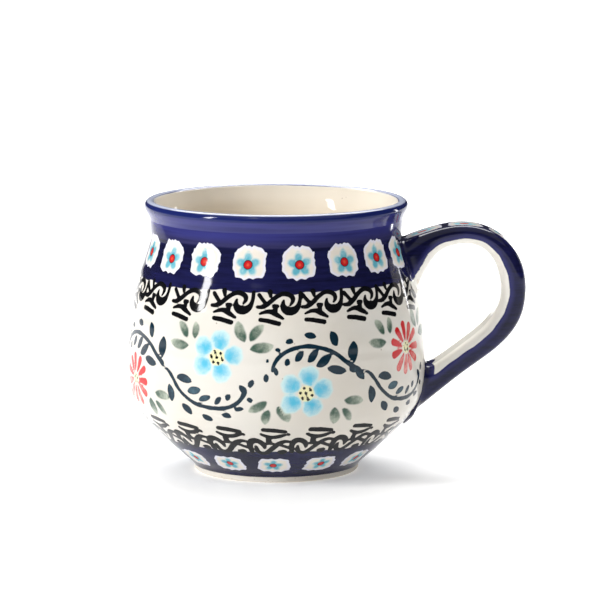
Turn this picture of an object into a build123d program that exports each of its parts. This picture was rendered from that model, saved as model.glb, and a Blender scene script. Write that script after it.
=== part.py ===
from build123d import *
import math
import os

# Stoneware mug: a turned pot with a pulled strap handle, luted on with slip and glazed all over
# but for the foot. Millimetres, +Z up, origin on the pot's axis where the foot rests, handle on +X.

# Driving sizes
height = 86.0            # foot to lip crest
glaze = 0.3              # fired thickness of every glaze coat
slip = 0.6               # film of slip between a handle root and the wall
lip_radius = 1.9         # round of the glazed lip
lip_centre = (39.7, height - lip_radius)
lip_outer_angle = -25.0  # where the outer line runs into the round, degrees above level
lip_inner_angle = 155.0  # where the inner line runs into the round
crest_angle = 90.0       # the two coats meet on the crest
foot_line = 2.0          # the outside glaze stops this far above the table
foot_radius = 26.0
foot_width = 3.4         # flat of the foot ring
foot_chamfer = 0.5
recess_depth = 2.2       # underside inside the foot ring
recess_slope = 1.0       # how much narrower the recess is at its top
floor_height = 8.2       # glazed floor on the axis
floor_round = 150.0      # radius of the floor's shallow dish
floor_edge = 24.0        # radius where the dish turns up into the wall

# Glazed outer line from the foot line up to the lip, as (radius, height)
outer_points = [
    (26.4, foot_line),
    (29.2, 4.8),
    (36.3, 11.3),
    (43.4, 19.2),
    (46.5, 25.8),
    (47.3, 34.6),
    (46.3, 47.6),
    (43.8, 60.8),
    (40.1, 72.3),
    (39.3, 76.3),
    (39.9, 80.0),
]

# Glazed inner line from under the lip down to where the floor's dish begins, as (radius, height)
inner_points = [
    (35.5, 79.0),
    (35.3, 75.0),
    (37.2, 67.5),
    (39.2, 60.5),
    (41.6, 48.0),
    (42.4, 36.5),
    (41.3, 27.0),
    (37.6, 18.8),
    (31.5, 13.0),
]
inset_samples = 24       # points that carry a line to the other face of its coat
unit_speed = (1, 1)      # end tangents of a line measured by its own length

# Glazed strap sections from the upper root round to the lower one:
# outer face (x, z), inner face (x, z), width, corner radius
strap_sections = [
    ((38.0, 72.2), (42.5, 56.0), 21.0, 5.0),
    ((42.2, 74.2), (46.2, 62.5), 19.0, 4.4),
    ((47.0, 75.9), (49.9, 68.6), 16.5, 3.0),
    ((55.8, 78.0), (56.5, 72.1), 15.0, 2.5),
    ((63.7, 77.6), (62.3, 72.1), 14.8, 2.4),
    ((72.2, 73.4), (67.4, 68.6), 14.8, 2.9),
    ((77.5, 65.4), (70.0, 63.1), 14.8, 3.2),
    ((78.6, 57.4), (70.7, 57.5), 14.8, 3.2),
    ((77.1, 49.2), (69.6, 52.3), 14.8, 3.2),
    ((72.1, 41.7), (66.3, 47.1), 14.8, 3.2),
    ((63.8, 34.9), (59.3, 41.0), 14.8, 3.1),
    ((56.0, 29.1), (51.4, 35.2), 15.0, 3.1),
    ((48.8, 23.2), (47.6, 33.2), 15.4, 3.6),
    ((39.5, 15.2), (43.6, 33.4), 13.0, 5.0),
]


def on_lip(radius, angle):
    """Point of the lip's round, as (radius, height)."""
    turn = math.radians(angle)
    return (lip_centre[0] + radius * math.cos(turn), lip_centre[1] + radius * math.sin(turn))


def lip_arc(radius, start, end):
    """Stretch of the lip's round between two angles."""
    middle = (start + end) / 2
    return ThreePointArc(on_lip(radius, start), on_lip(radius, middle), on_lip(radius, end))


def heading(angle):
    """Direction a quarter turn on from an angle of the lip's round."""
    turn = math.radians(angle)
    return (-math.sin(turn), math.cos(turn))


def inset(line, depth, start, end):
    """Copy of a line moved to its left by depth, with its two ends set exactly."""
    points = [start]
    for index in range(1, inset_samples):
        place = line @ (index / inset_samples)
        along = line % (index / inset_samples)
        points.append((place.X - along.Y * depth, place.Y + along.X * depth))
    points.append(end)
    return Spline(points, tangents=[line % 0, line % 1], tangent_scalars=unit_speed)


def outer_line(depth):
    """Outer line of the pot at a depth under the glazed surface, foot line to lip."""
    tangent_up = heading(lip_outer_angle)
    glazed = Spline(
        outer_points + [on_lip(lip_radius, lip_outer_angle)],
        tangents=[(0.55, 0.84), tangent_up],
        tangent_scalars=unit_speed,
    )
    if depth == 0:
        return glazed
    foot = (outer_points[0][0] - depth, foot_line)
    return inset(glazed, depth, foot, on_lip(lip_radius - depth, lip_outer_angle))


def on_floor(radius, turn):
    """Point of the floor's dish, as (radius, height), at an angle about the dish's centre."""
    return (radius * math.sin(turn), floor_height + floor_round - radius * math.cos(turn))


def inner_line(depth):
    """Inner wall and floor of the pot at a depth under the glazed surface, lip to floor centre."""
    turn = math.asin(floor_edge / floor_round)
    glazed = Spline(
        [on_lip(lip_radius, lip_inner_angle)] + inner_points + [on_floor(floor_round, turn)],
        tangents=[heading(lip_inner_angle), (-math.cos(turn), -math.sin(turn))],
        tangent_scalars=unit_speed,
    )
    wall = glazed
    edge = on_floor(floor_round + depth, turn)
    if depth > 0:
        wall = inset(glazed, depth, on_lip(lip_radius - depth, lip_inner_angle), edge)
    middle = on_floor(floor_round + depth, turn / 2)
    return [wall, ThreePointArc(edge, middle, on_floor(floor_round + depth, 0))]


def turned(edges):
    """Solid of revolution about the pot's axis from a closed outline of (radius, height) edges."""
    return revolve(Plane.XZ * make_face(edges), Axis.Z)


def polyline(points):
    """Straight edges through the points."""
    return [Line(first, second) for first, second in zip(points, points[1:])]


def filled_pot(depth):
    """The pot's outer shape as one lump with no hollow, at a depth under the glazed surface."""
    wall = outer_line(depth)
    top = on_lip(lip_radius - depth, crest_angle)
    crown = lip_arc(lip_radius - depth, lip_outer_angle, crest_angle)
    start = wall @ 0
    cap = polyline([top, (0, top[1]), (0, foot_line), (start.X, start.Y)])
    return turned([wall, crown] + cap)


def cup_body():
    """Bare clay pot with its floor, recess and foot ring."""
    wall = outer_line(glaze)
    rim = lip_arc(lip_radius - glaze, lip_outer_angle, lip_inner_angle)
    hollow = inner_line(glaze)
    ring_inside = foot_radius - foot_width - foot_chamfer * 2
    start = wall @ 0
    underside = polyline([
        (0, floor_height - glaze),
        (0, recess_depth),
        (ring_inside - recess_slope, recess_depth),
        (ring_inside, foot_chamfer),
        (ring_inside + foot_chamfer, 0),
        (foot_radius - foot_chamfer, 0),
        (foot_radius, foot_chamfer),
        (start.X, start.Y),
    ])
    return turned([wall, rim] + hollow + underside)


def outside_glaze():
    """Coat on the outside of the pot from the foot line to the lip's crest."""
    surface = outer_line(0)
    clay = outer_line(glaze)
    crown = lip_arc(lip_radius, lip_outer_angle, crest_angle)
    under_crown = lip_arc(lip_radius - glaze, lip_outer_angle, crest_angle)
    crest = polyline([on_lip(lip_radius, crest_angle), on_lip(lip_radius - glaze, crest_angle)])
    first, last = surface @ 0, clay @ 0
    hem = polyline([(last.X, last.Y), (first.X, first.Y)])
    return turned([surface, crown] + crest + [under_crown, clay] + hem)


def inside_glaze():
    """Coat inside the pot from the lip's crest to the middle of the floor."""
    surface = inner_line(0)
    clay = inner_line(glaze)
    crown = lip_arc(lip_radius, crest_angle, lip_inner_angle)
    under_crown = lip_arc(lip_radius - glaze, crest_angle, lip_inner_angle)
    crest = polyline([on_lip(lip_radius, crest_angle), on_lip(lip_radius - glaze, crest_angle)])
    middle = polyline([(0, floor_height), (0, floor_height - glaze)])
    return turned(surface + [crown] + crest + [under_crown] + clay + middle)


def base_glaze():
    """Coat on the underside, inside the foot ring."""
    radius = foot_radius - foot_width - foot_chamfer * 2 - recess_slope
    under = recess_depth - glaze
    corners = [(0, under), (radius, under), (radius, recess_depth), (0, recess_depth), (0, under)]
    return turned(polyline(corners))


def strap(depth):
    """Handle strap through both walls, at a depth under its glazed surface."""
    sections = []
    for outer, inner, width, corner in strap_sections:
        across = Vector(outer[0] - inner[0], 0, outer[1] - inner[1])
        middle = ((outer[0] + inner[0]) / 2, 0, (outer[1] + inner[1]) / 2)
        plane = Plane(origin=middle, x_dir=(0, 1, 0), z_dir=Vector(0, 1, 0).cross(across))
        outline = RectangleRounded(width - depth * 2, across.length - depth * 2, corner - depth)
        sections.append(plane * outline)
    return loft(sections)


os.makedirs("parts", exist_ok=True)

clay_strap = strap(glaze)
glazed_strap = strap(0)
slip_face = filled_pot(glaze - slip)
slip_film = clay_strap & (slip_face - filled_pot(glaze))
root_films = slip_film.solids().sort_by(Axis.Z)

parts = {
    "cup_body": cup_body(),
    "handle": clay_strap - slip_face,
    "upper_slip_joint": root_films[-1],
    "lower_slip_joint": root_films[0],
    "outside_glaze": outside_glaze() - clay_strap,
    "inside_glaze": inside_glaze(),
    "handle_glaze": glazed_strap - clay_strap - filled_pot(0),
    "base_glaze": base_glaze(),
}

for name, shape in parts.items():
    solids = shape.solids()
    print(name, len(solids), "solids", round(shape.volume, 1), "mm3")
    export_step(shape, f"parts/{name}.step")
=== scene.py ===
"""Looks of a hand-painted stoneware mug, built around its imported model.

Lengths are in millimetres until a mesh is made, which is in metres. Angles run round the pot in
degrees, from the front towards the handle, which stands at 90.
"""

import math
import random

import bmesh
import bpy
import numpy as np
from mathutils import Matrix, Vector


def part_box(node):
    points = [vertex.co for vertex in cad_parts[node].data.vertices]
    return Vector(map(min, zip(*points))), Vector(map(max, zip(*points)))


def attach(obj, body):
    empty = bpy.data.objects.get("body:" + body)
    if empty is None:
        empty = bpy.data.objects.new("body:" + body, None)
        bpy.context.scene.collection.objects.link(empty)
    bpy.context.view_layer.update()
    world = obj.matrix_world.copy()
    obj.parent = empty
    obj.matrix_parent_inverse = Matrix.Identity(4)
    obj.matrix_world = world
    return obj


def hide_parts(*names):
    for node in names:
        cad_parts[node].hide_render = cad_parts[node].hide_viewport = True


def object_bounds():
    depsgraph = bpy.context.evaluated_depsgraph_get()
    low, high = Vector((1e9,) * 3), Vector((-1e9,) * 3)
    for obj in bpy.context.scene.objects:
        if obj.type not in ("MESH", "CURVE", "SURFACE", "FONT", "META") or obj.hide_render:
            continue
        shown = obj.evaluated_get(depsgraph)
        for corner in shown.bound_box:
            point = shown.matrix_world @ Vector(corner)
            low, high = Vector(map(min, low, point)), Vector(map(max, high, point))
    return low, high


bl_info = {
    "name": "Painted Stoneware Mug",
    "version": (1, 0, 0),
    "blender": (4, 5, 0),
    "location": "View3D > Sidebar > Mug",
    "description": "Glaze coats, folk painting and studio for a stoneware mug",
    "category": "Object",
}

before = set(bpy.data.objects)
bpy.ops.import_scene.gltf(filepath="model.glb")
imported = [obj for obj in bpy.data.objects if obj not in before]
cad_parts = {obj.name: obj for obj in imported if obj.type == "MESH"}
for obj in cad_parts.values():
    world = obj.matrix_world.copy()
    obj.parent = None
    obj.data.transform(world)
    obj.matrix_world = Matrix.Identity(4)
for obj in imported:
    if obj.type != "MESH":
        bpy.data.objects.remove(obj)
CAD_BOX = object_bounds()

MM = 0.001
BODY = "root"
HANDLE_ANGLE = 90.0
FAR = 4.0  # a field is never read further than this from an edge
WET_RIM = 0.6  # a mark sets the strength of its ink this far beyond its edge
TINY = 1e-9
MERGE = 1e-7  # metres

# The pot's turned lines, as (radius, height)
HEIGHT = CAD_BOX[1].z / MM
LIP_ROUND = 1.9
LIP_CENTRE = (39.7, HEIGHT - LIP_ROUND)
LIP_OUTER, LIP_SPLIT, LIP_INNER = -25.0, 140.0, 155.0
OUTER_WALL = [
    (26.4, 2.0), (29.2, 4.8), (36.3, 11.3), (43.4, 19.2), (46.5, 25.8), (47.3, 34.6), (46.3, 47.6),
    (43.8, 60.8), (40.1, 72.3), (39.3, 76.3), (39.9, 80.0),
]
OUTER_HEADING = (0.55, 0.84)
INNER_WALL = [
    (35.5, 79.0), (35.3, 75.0), (37.2, 67.5), (39.2, 60.5), (41.6, 48.0), (42.4, 36.5), (41.3, 27.0),
    (37.6, 18.8), (31.5, 13.0),
]
FLOOR_HEIGHT, FLOOR_ROUND, FLOOR_EDGE = 8.2, 150.0, 24.0

# The strap's sections from the upper root to the lower: outer face, inner face, width,
# corner round
STRAP = [
    ((38.0, 72.2), (42.5, 56.0), 21.0, 5.0),
    ((42.2, 74.2), (46.2, 62.5), 19.0, 4.4),
    ((47.0, 75.9), (49.9, 68.6), 16.5, 3.0),
    ((55.8, 78.0), (56.5, 72.1), 15.0, 2.5),
    ((63.7, 77.6), (62.3, 72.1), 14.8, 2.4),
    ((72.2, 73.4), (67.4, 68.6), 14.8, 2.9),
    ((77.5, 65.4), (70.0, 63.1), 14.8, 3.2),
    ((78.6, 57.4), (70.7, 57.5), 14.8, 3.2),
    ((77.1, 49.2), (69.6, 52.3), 14.8, 3.2),
    ((72.1, 41.7), (66.3, 47.1), 14.8, 3.2),
    ((63.8, 34.9), (59.3, 41.0), 14.8, 3.1),
    ((56.0, 29.1), (51.4, 35.2), 15.0, 3.1),
    ((48.8, 23.2), (47.6, 33.2), 15.4, 3.6),
    ((39.5, 15.2), (43.6, 33.4), 13.0, 5.0),
]

# Levels of the painted bands on the wall
UPPER_COBALT = 62.5
NECK_TONE = 75.7
RIM_TONE = 83.6
LOWER_COBALT = 11.9
PAINTED_LIP = 130.0  # the rim's cobalt ends here on the lip's round

# Where each stamp or flower stands, set out one by one as a painter does
UPPER_MEDALLIONS = [-72.5, -52.5, -32.3, -11.3, 10.2, 31.0, 50.0, 69.0, 110.0]
UPPER_MEDALLIONS += [130.0, 150.5, 170.0, 189.5, 209.5, 229.0, 248.5, 268.0]
LOWER_MEDALLIONS = [-53.5, -27.5, -1.0, 26.0, 51.5, 77.5, 103.0, 129.0, 154.5, 180.5]
LOWER_MEDALLIONS += [206.0, 232.0, 257.5, 282.5]
UPPER_SCROLLS = [-64.8, -44.7, -25.0, -6.3, 11.5, 29.2, 46.5, 64.3, 82.0, 100.5]
UPPER_SCROLLS += [118.5, 136.5, 155.0, 173.0, 191.0, 209.5, 227.5, 245.5, 260.0, 277.5]
LOWER_SCROLLS = [-62.0, -43.2, -24.0, -5.3, 13.8, 33.2, 52.0, 71.0, 90.0, 109.0]
LOWER_SCROLLS += [128.0, 147.0, 166.0, 185.0, 204.0, 222.5, 241.5, 260.5, 279.5]
# Angle of each half wave of the vine, stretch of its width and colour of its flower
CRESTS = [(-67.5, 1.0, "red"), (11.5, 1.0, "blue"), (108.0, 1.12, "red"), (196.0, 1.16, "blue")]
TROUGHS = [(-22.5, 1.0, "blue"), (59.5, 1.0, "red"), (150.0, 1.15, "blue"), (243.5, 1.15, "red")]

# Strokes of the scroll stamp, as (right, up, half width) from the left end of its bar
SCROLL = {
    "bar": [(0.35, 0.0, 0.42), (2.6, -0.25, 0.5), (6.1, -1.05, 0.5)],
    "wing": [
        (0.1, 1.8, 0.1), (1.9, 2.45, 0.34), (3.4, 2.55, 0.5), (4.9, 1.9, 0.6), (6.2, 1.15, 0.38),
        (7.3, 0.5, 0.2),
    ],
    "stem": [(4.8, 2.2, 0.5), (4.9, 3.6, 0.5)],
    "knob": [(4.4, 4.3, 0.4), (5.4, 4.25, 0.42)],
    "crescent": [
        (7.3, 6.0, 0.12), (7.1, 4.9, 0.45), (7.5, 3.7, 0.8), (8.6, 2.9, 1.05), (9.9, 2.8, 1.05),
        (11.2, 3.5, 0.8), (12.0, 4.9, 0.45), (12.3, 6.6, 0.36), (12.3, 8.4, 0.36),
    ],
    "arch": [
        (-0.7, 3.9, 0.3), (0.6, 3.9, 0.42), (2.2, 4.7, 0.5), (4.0, 6.3, 0.5), (5.6, 7.5, 0.48),
        (7.2, 8.1, 0.5), (8.8, 7.8, 0.5), (9.9, 7.0, 0.52), (10.1, 6.0, 0.42), (9.4, 4.8, 0.1),
    ],
    "cross": [(-0.3, 7.6, 0.42), (0.9, 6.1, 0.38), (1.9, 4.9, 0.38)],
    "tuck": [(3.0, 8.6, 0.6), (3.3, 7.3, 0.3)],
}
# Strokes of its fellow in the lower band, from the left end of the bar, which is on top there
LOWER_SCROLL = {
    "bar": [(0.3, 0.2, 0.45), (3.6, -0.05, 0.55), (7.0, -0.6, 0.4)],
    "dot": [(7.9, -1.7, 0.3), (8.0, -1.8, 0.3)],
    "wing": [
        (-0.6, -1.6, 0.15), (1.0, -2.5, 0.38), (2.9, -3.0, 0.5), (5.0, -2.65, 0.45), (6.9, -1.9, 0.2),
    ],
    "stem": [(1.7, -2.8, 0.5), (1.7, -4.6, 0.6), (2.0, -5.9, 0.6)],
    "foot": [(0.9, -6.1, 0.35), (2.8, -6.1, 0.35)],
    "arch": [
        (8.4, -10.6, 0.45), (8.6, -7.8, 0.52), (9.3, -5.4, 0.75), (10.8, -4.4, 0.9), (12.2, -4.9, 0.85),
        (13.0, -6.4, 0.62), (12.9, -8.3, 0.1),
    ],
    "swing": [
        (10.5, -7.3, 0.1), (10.3, -8.8, 0.42), (10.5, -10.3, 0.5), (12.0, -11.1, 0.5),
        (13.4, -10.3, 0.45), (15.4, -8.2, 0.5), (17.2, -6.4, 0.5), (19.0, -5.0, 0.48),
        (20.8, -4.5, 0.42), (22.1, -4.9, 0.35),
    ],
    "cross": [(17.9, -6.1, 0.42), (19.8, -7.4, 0.46), (21.5, -8.5, 0.46)],
    "tuck": [(17.4, -10.4, 0.8), (18.4, -9.9, 0.6)],
}

# The vine over a flower, as (degrees from the flower, height, half width)
CREST_VINE = [
    (-12.7, 39.0, 0.42), (-12.0, 41.0, 0.55), (-10.0, 43.3, 0.6), (-7.0, 45.0, 0.58),
    (-3.5, 46.0, 0.62), (0.5, 46.4, 0.66), (4.5, 46.0, 0.66), (8.5, 45.0, 0.62), (12.5, 43.3, 0.62),
    (15.5, 41.3, 0.62), (18.0, 39.9, 0.7), (19.6, 38.9, 0.8),
]
# Its leaves, as (degrees from the flower, height, length, width, tilt, strength of the ink)
CREST_LEAVES = [
    (-11.3, 38.8, 2.9, 1.6, 88, 0.85), (-14.9, 36.8, 2.9, 1.8, -72, 1.0),
    (-14.4, 42.0, 1.4, 1.2, 20, 1.0), (-10.5, 45.3, 2.3, 1.3, -10, 1.0),
    (-6.2, 47.9, 2.8, 1.8, -12, 1.0), (1.8, 49.6, 4.2, 2.1, -25, 1.0), (11.2, 48.3, 5.2, 2.9, -60, 1.0),
    (19.4, 44.0, 6.7, 3.7, -84, 1.0), (-7.2, 41.7, 2.7, 1.8, 68, 1.0), (-2.5, 43.3, 4.1, 2.3, 38, 1.0),
    (2.7, 43.2, 5.0, 2.5, 38, 1.0), (6.9, 41.7, 6.2, 2.9, 25, 1.0), (12.0, 38.8, 7.0, 2.8, -3, 1.0),
    (19.0, 38.5, 3.4, 2.7, 15, 1.0), (21.9, 37.3, 5.6, 2.6, -58, 0.8),
]
TROUGH_VINE = [
    (-25.2, 38.0, 0.25), (-22.7, 37.3, 0.42), (-20.6, 35.9, 0.58), (-19.0, 34.3, 0.6),
    (-17.0, 32.1, 0.6), (-13.5, 29.6, 0.6), (-9.5, 27.8, 0.62), (-4.5, 26.9, 0.64), (0.5, 26.7, 0.64),
    (4.5, 27.3, 0.62), (8.0, 28.8, 0.6), (10.1, 30.7, 0.66), (11.0, 32.2, 0.85),
]
TROUGH_LEAVES = [
    (10.3, 33.0, 3.8, 2.1, -62, 1.0), (13.5, 35.0, 3.0, 1.9, 78, 1.0), (12.9, 30.0, 2.1, 1.8, 10, 1.0),
    (8.6, 26.9, 3.6, 1.5, 0, 1.0), (3.5, 24.5, 3.4, 1.9, -18, 1.0), (-4.7, 23.4, 4.2, 2.2, -38, 1.0),
    (-13.5, 25.6, 4.9, 2.6, -56, 0.92), (-21.0, 30.1, 6.0, 2.9, -80, 0.8),
    (-14.0, 35.0, 6.6, 2.7, -4, 0.82), (-9.5, 31.8, 5.4, 2.6, 22, 0.5),
    (-5.0, 29.6, 5.0, 2.0, 28, 0.62), (0.5, 29.2, 3.7, 1.8, 38, 0.9), (4.7, 30.4, 2.6, 1.9, 58, 0.9),
]
# Sage leaves beside the flowers, as (degrees from the flower, height, length, width, tilt of the tip)
CREST_SAGE = [
    (-18.2, 27.8, 7.0, 2.8, 216), (-14.9, 24.4, 5.6, 2.8, 256), (-8.6, 25.4, 6.6, 3.5, -62),
    (19.2, 28.7, 7.2, 2.9, -12), (16.8, 24.4, 6.2, 2.3, -48), (11.6, 24.3, 6.0, 3.4, -94),
]
TROUGH_SAGE = [
    (-15.4, 50.3, 6.3, 2.7, 130), (-9.8, 50.4, 5.4, 2.5, 98), (-17.0, 45.8, 7.6, 3.0, 178),
    (9.3, 50.8, 7.0, 3.3, 108), (15.4, 50.5, 6.8, 3.0, 52), (17.4, 46.1, 7.6, 3.3, 16),
]
# Half waves: where they stand, their flower's height, vine, leaves and sage, and how many of the last
# leaves a red flower goes without
HALF_WAVES = [
    (CRESTS, 31.9, CREST_VINE, CREST_LEAVES, CREST_SAGE, 2),
    (TROUGHS, 42.6, TROUGH_VINE, TROUGH_LEAVES, TROUGH_SAGE, 0),
]
# Rows of medallions: where they stand, height and its drift, half width and half height
MEDALLION_ROWS = [
    (UPPER_MEDALLIONS, 71.0, (-0.2, 0.2), 5.35, 5.0),
    (LOWER_MEDALLIONS, 6.7, (-0.15, 0.1), 5.2, 4.0),
]
# Rows of scrolls: where they stand, height of the bar, strokes, and how far the ink swells them
SCROLL_ROWS = [(UPPER_SCROLLS, 54.5, SCROLL, 0.27), (LOWER_SCROLLS, 20.0, LOWER_SCROLL, 0.34)]

UPPER_ROOT, LOWER_ROOT = 65.0, 23.0  # about the middles of the handle's roots

# The flowers: shortest and longest of a petal, radius of the eye, and the dashes or dots in it
DAISY_PETALS = 11
DAISY_REACH = (6.9, 7.5)
DAISY_EYE = 1.9
DAISY_DOTS, DAISY_DOTS_AWAY = 5, 1.15
BLUE_PETALS = [(81, 5.5), (11, 5.5), (-68, 4.8), (-149, 5.6), (147, 5.6)]  # bearing, distance
BLUE_PETAL_RADII = (3.05, 3.3)
BLUE_EYE = 2.5
STAMENS = [(-0.7, 1.75), (-1.9, 0.3), (-0.1, 0.1), (1.2, 1.3), (1.8, -0.5), (0.5, -1.7), (-1.2, -1.4)]

# Rows of the painted coat's mesh: height where a zone ends and the spacing in it, finest over the scrolls
ROW_ZONES = [(10.5, 0.7), (20.8, 0.56), (52.8, 0.74), (63.4, 0.52), (77.0, 0.76), (82.5, 1.4)]
LIP_SPACING = 0.7

INKS = ("cobalt", "white", "sage", "vine", "blue", "red", "gold", "black")


# ---------------------------------------------------------------- lines and sections


def spline_slopes(spots, values, first=None, last=None):
    """Slopes of the cubic spline through values at spots, clamped at an end where one is given."""
    gaps = np.diff(spots)
    rises = np.diff(values) / gaps
    size = len(spots)
    matrix = np.zeros((size, size))
    right = np.zeros(size)
    for row in range(1, size - 1):
        before, after = gaps[row - 1], gaps[row]
        matrix[row, row - 1 : row + 2] = (after, 2 * (before + after), before)
        right[row] = 3 * (after * rises[row - 1] + before * rises[row])
    for row, clamp, near, rise in ((0, first, 1, rises[0]), (size - 1, last, size - 2, rises[-1])):
        matrix[row, row] = 1 if clamp is not None else 2
        matrix[row, near] = 0 if clamp is not None else 1
        right[row] = clamp if clamp is not None else 3 * rise
    return np.linalg.solve(matrix, right)


def spline(points, count, first=None, last=None):
    """count points along the smooth line through points, with unit headings at its ends if given."""
    points = np.array(points, float)
    spots = np.concatenate([[0], np.cumsum(np.linalg.norm(np.diff(points[:, :2], axis=0), axis=1))])
    places = np.linspace(0, spots[-1], count)
    index = np.clip(np.searchsorted(spots, places) - 1, 0, len(spots) - 2)
    gap = spots[index + 1] - spots[index]
    share = (places - spots[index]) / gap
    columns = []
    for axis in range(points.shape[1]):
        ends = [None if end is None else end[axis] for end in (first, last)]
        values = points[:, axis]
        slopes = spline_slopes(spots, values, *ends)
        start, end = values[index], values[index + 1]
        leave, arrive = slopes[index] * gap, slopes[index + 1] * gap
        columns.append(
            start
            + share * leave
            + share**2 * (3 * (end - start) - 2 * leave - arrive)
            + share**3 * (2 * (start - end) + leave + arrive)
        )
    return np.stack(columns, axis=1)


def lip_point(radius, angle):
    """Point of the lip's round at an angle from level outwards."""
    turn = np.radians(angle)
    return np.stack([LIP_CENTRE[0] + radius * np.cos(turn), LIP_CENTRE[1] + radius * np.sin(turn)], axis=-1)


def lip_heading(angle):
    """Direction a quarter turn on from an angle of the lip's round."""
    turn = math.radians(angle)
    return (-math.sin(turn), math.cos(turn))


def outer_line(steps=4000):
    """The outside of the glazed pot from the foot line to where the inside coat begins."""
    end = lip_point(LIP_ROUND, LIP_OUTER)
    wall = spline(OUTER_WALL + [tuple(end)], steps, OUTER_HEADING, lip_heading(LIP_OUTER))
    lip = lip_point(LIP_ROUND, np.linspace(LIP_OUTER, LIP_SPLIT, steps // 10))
    return np.concatenate([wall, lip[1:]])


def inner_line(steps=4000):
    """The inside of the glazed pot from the lip down to the middle of the floor."""
    turn = math.asin(FLOOR_EDGE / FLOOR_ROUND)
    lip = lip_point(LIP_ROUND, np.linspace(LIP_SPLIT, LIP_INNER, steps // 40))
    edge = (FLOOR_EDGE, FLOOR_HEIGHT + FLOOR_ROUND * (1 - math.cos(turn)))
    start = lip_point(LIP_ROUND, LIP_INNER)
    down = (-math.cos(turn), -math.sin(turn))
    wall = spline([tuple(start)] + INNER_WALL + [edge], steps, lip_heading(LIP_INNER), down)
    sweep = np.linspace(turn, 0, steps // 4)
    dish = np.stack([FLOOR_ROUND * np.sin(sweep), FLOOR_HEIGHT + FLOOR_ROUND * (1 - np.cos(sweep))], axis=1)
    return np.concatenate([lip, wall[1:], dish[1:]])


def lengths_along(line):
    """Distance from a line's start to each of its points."""
    return np.concatenate([[0], np.cumsum(np.linalg.norm(np.diff(line, axis=0), axis=1))])


def resampled(line, places):
    """Points of a line at the given distances from its start."""
    along = lengths_along(line)
    return np.stack([np.interp(places, along, line[:, axis]) for axis in (0, 1)], axis=1)


def rows_by_spacing(zones):
    """Distances whose spacing follows zones of (where the zone ends, spacing in it)."""
    places, here = [0.0], 0.0
    for end, spacing in zones:
        count = max(1, round((end - here) / spacing))
        places += list(np.linspace(here, end, count + 1)[1:])
        here = end
    return np.array(places)


def inset(line, depth):
    """A line moved to its left by depth."""
    heading = np.gradient(line, axis=0)
    heading /= np.linalg.norm(heading, axis=1)[:, None]
    return line + depth * np.stack([-heading[:, 1], heading[:, 0]], axis=1)


OUTSIDE = outer_line()
OUTSIDE_ALONG = lengths_along(OUTSIDE)
WALL_TOP = int(np.argmax(OUTSIDE[:, 1]))


def level(height):
    """Distance up the outside wall from the foot line to a height."""
    return np.interp(height, OUTSIDE[:WALL_TOP, 1], OUTSIDE_ALONG[:WALL_TOP])


def wall_radius(height):
    """Radius of the outside wall at a height."""
    return np.interp(height, OUTSIDE[:WALL_TOP, 1], OUTSIDE[:WALL_TOP, 0])


# ---------------------------------------------------------------- meshes


def turned_mesh(outline, columns, throwing=0.0):
    """A bmesh of a (radius, height) outline wrapped once about the pot's axis.

    An outline that starts on the axis ends there too. Any other is closed.
    """
    outline = np.array(outline)
    if outline[0][0] > TINY:
        outline = np.concatenate([outline, outline[:1]])
    rows = len(outline) - 1
    shape = bmesh.new()
    bmesh.ops.create_grid(shape, x_segments=columns, y_segments=rows, size=0.5)
    sheet = np.array([vert.co[:] for vert in shape.verts]) + 0.5
    turn = sheet[:, 0] * math.tau
    radius, height = outline[np.rint(sheet[:, 1] * rows).astype(int)].T
    off_axis = radius > 1
    radius = radius + np.where(off_axis, thrown(turn, height, throwing), 0)
    places = np.stack([radius * np.sin(turn), -radius * np.cos(turn), height], axis=1) * MM
    for vert, place in zip(shape.verts, places.tolist()):
        vert.co = place
    bmesh.ops.remove_doubles(shape, verts=shape.verts, dist=MERGE)
    bmesh.ops.recalc_face_normals(shape, faces=shape.faces)
    return shape


def thrown(turn, height, depth):
    """Outward shift that throwing on the wheel leaves on a wall: faint rings, and a lean out of round."""
    rings = np.sin(height * 0.83 + 0.5 * np.sin(turn)) + 0.6 * np.sin(height * 1.71 + turn)
    lean = np.sin(2 * turn + 0.7) + 0.6 * np.sin(3 * turn - height * 0.05)
    return depth * (0.35 * rings + 0.65 * lean)


def finished(shape, name, nodes, material, crease=40.0):
    """The object of a bmesh, smooth but for its creases, riding on the body and standing for nodes."""
    mesh = bpy.data.meshes.new(name)
    for face in shape.faces:
        face.smooth = True
    for edge in shape.edges:
        edge.smooth = len(edge.link_faces) == 2 and edge.calc_face_angle() < math.radians(crease)
    shape.to_mesh(mesh)
    shape.free()
    piece = bpy.data.objects.new(name, mesh)
    bpy.context.scene.collection.objects.link(piece)
    mesh.materials.append(material)
    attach(piece, BODY)
    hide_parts(*nodes)
    return piece


def points_of(mesh):
    """The mesh's vertices in millimetres, one row each."""
    flat = np.zeros(len(mesh.vertices) * 3, np.float32)
    mesh.vertices.foreach_get("co", flat)
    return flat.reshape(-1, 3).astype(float) / MM


def write_fields(mesh, fields):
    """Stores one number per vertex under each name."""
    for name, values in fields.items():
        attribute = mesh.attributes.new(name, "FLOAT", "POINT")
        attribute.data.foreach_set("value", values.astype(np.float32))


# ---------------------------------------------------------------- painting


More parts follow.
